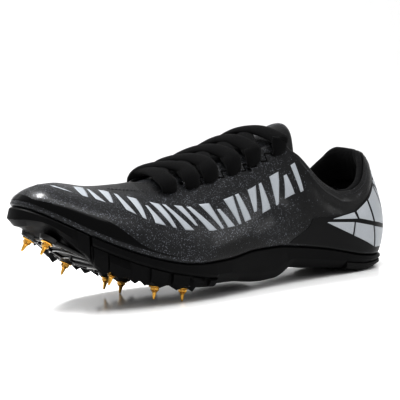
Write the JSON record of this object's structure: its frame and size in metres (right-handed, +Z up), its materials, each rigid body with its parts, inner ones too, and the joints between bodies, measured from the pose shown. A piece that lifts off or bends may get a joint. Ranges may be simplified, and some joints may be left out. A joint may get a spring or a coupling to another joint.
{
  "type": "track spike shoe",
  "caption": "Low lace-up running shoe for sprints, with a hollow upper, a stiff forefoot plate with screw-in pin spikes, a thin foam sole and a padded collar.",
  "frame": {"origin": "middle of the whole shoe seen from above, on the floor it stands on", "axes": "+X from toe to heel, +Y towards the inner side of the foot, +Z up"},
  "size_m": [0.2742, 0.095, 0.1036],
  "materials": {
    "glitter_synthetic": "dark synthetic skin with fine silver glitter",
    "moulded_foam": "moulded foam, satin",
    "moulded_plate": "moulded nylon, half gloss",
    "heel_rubber": "moulded rubber, matt",
    "footbed_foam": "textile covered foam",
    "lining_textile": "knitted lining over foam",
    "tongue_synthetic": "padded, glitter faced",
    "lace_polyester": "woven polyester",
    "gold_plated_steel": "gold coloured plating"
  },
  "bodies": {
    "root": {"upper": "glitter_synthetic", "midsole": "moulded_foam", "spike_plate": "moulded_plate", "heel_pad": "heel_rubber", "insole": "footbed_foam", "collar_lining": "lining_textile", "tongue": "tongue_synthetic", "laces": "lace_polyester", "spike_1": "gold_plated_steel", "spike_2": "gold_plated_steel", "spike_3": "gold_plated_steel", "spike_4": "gold_plated_steel", "spike_5": "gold_plated_steel", "spike_6": "gold_plated_steel", "spike_7": "gold_plated_steel", "spike_8": "gold_plated_steel"}
  },
  "joints": []
}
